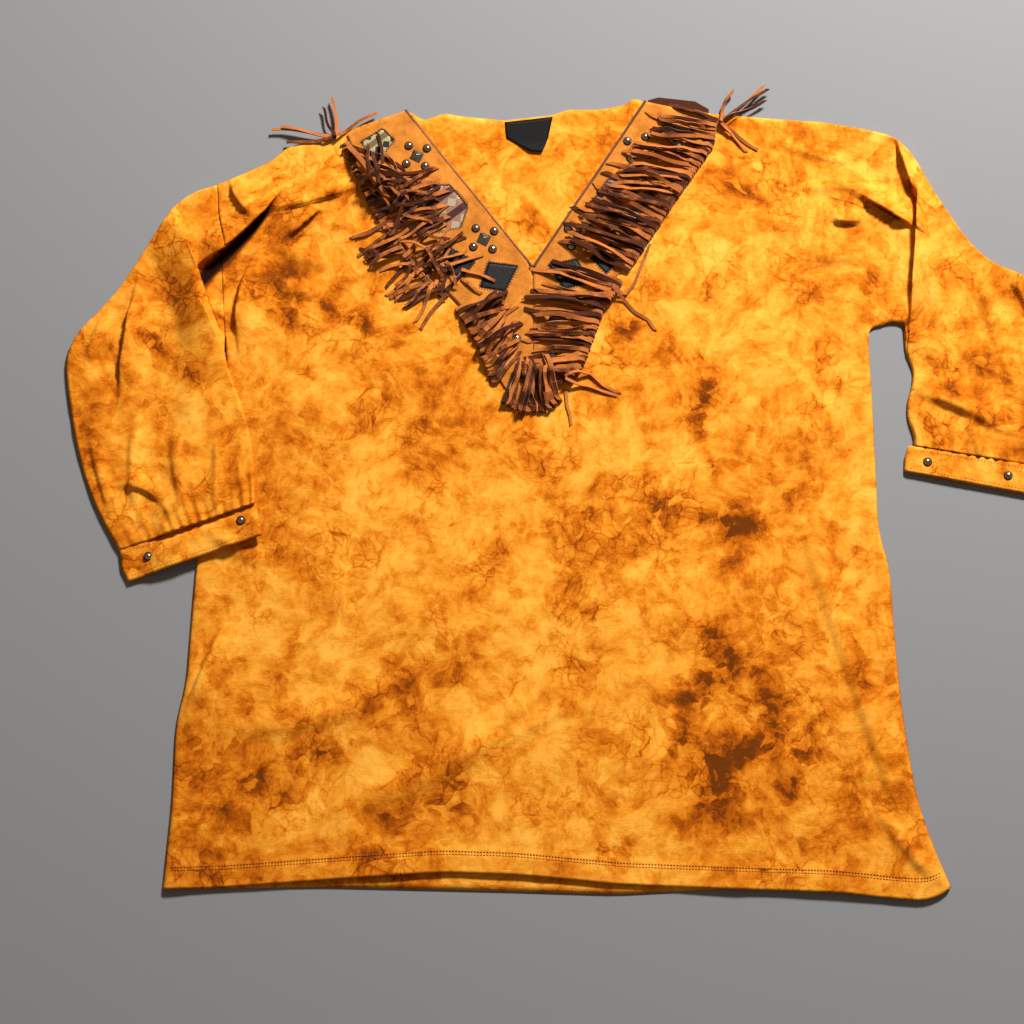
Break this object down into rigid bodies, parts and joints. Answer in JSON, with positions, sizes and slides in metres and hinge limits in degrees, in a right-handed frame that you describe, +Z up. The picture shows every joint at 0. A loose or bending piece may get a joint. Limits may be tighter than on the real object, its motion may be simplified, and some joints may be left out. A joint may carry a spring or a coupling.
{
  "type": "fringed jersey tunic with a suede yoke, laid flat",
  "caption": "Loose dyed jersey tunic laid flat, with a V neck, folded-down sleeves and a studded suede yoke edged with fringe.",
  "frame": {"origin": "on the floor, under the middle of the garment's box", "axes": "+X to the right of the picture, +Y from the hem to the neck, +Z up from the surface that it lies on"},
  "size_m": [1.018, 0.8322, 0.0236],
  "materials": {
    "jersey": "dyed cotton jersey, soft and dull",
    "cuff": "dyed cotton jersey, doubled and stitched",
    "suede": "suede split, dull nap",
    "fringe": "cut suede strands, brown, paler at the cut edges",
    "light_woven": "woven cotton, cream and khaki",
    "brown_woven": "woven cotton, brown with dark bars",
    "dark_leather": "smooth black leather",
    "nickel": "nickel-plated studs",
    "label": "woven black label, bare"
  },
  "bodies": {
    "root": {"back": "jersey", "cuff_left": "cuff", "cuff_right": "cuff", "fringe_left_arm": "fringe", "fringe_left_low": "fringe", "fringe_left_shoulder": "fringe", "fringe_right_arm": "fringe", "fringe_right_low": "fringe", "fringe_right_shoulder": "fringe", "fringe_tip": "fringe", "front": "jersey", "inlay_brown_woven_left": "brown_woven", "inlay_brown_woven_right": "brown_woven", "inlay_dark_neck_left": "dark_leather", "inlay_dark_neck_right": "dark_leather", "inlay_dark_side_left": "dark_leather", "inlay_dark_side_right": "dark_leather", "inlay_light_woven_left": "light_woven", "inlay_light_woven_right": "light_woven", "label": "label", "pyramid_centre": "nickel", "pyramid_left_1": "nickel", "pyramid_left_2": "nickel", "pyramid_right_1": "nickel", "pyramid_right_2": "nickel", "sleeve_left": "jersey", "sleeve_right": "jersey", "snap_left_1": "nickel", "snap_left_2": "nickel", "snap_right_1": "nickel", "snap_right_2": "nickel", "spot_centre_1": "nickel", "spot_centre_2": "nickel", "spot_centre_3": "nickel", "spot_left_1": "nickel", "spot_left_2": "nickel", "spot_left_3": "nickel", "spot_left_4": "nickel", "spot_left_5": "nickel", "spot_left_6": "nickel", "spot_left_7": "nickel", "spot_left_8": "nickel", "spot_right_1": "nickel", "spot_right_2": "nickel", "spot_right_3": "nickel", "spot_right_4": "nickel", "spot_right_5": "nickel", "spot_right_6": "nickel", "spot_right_7": "nickel", "spot_right_8": "nickel", "yoke_back": "suede", "yoke_left": "suede", "yoke_right": "suede"}
  },
  "joints": []
}
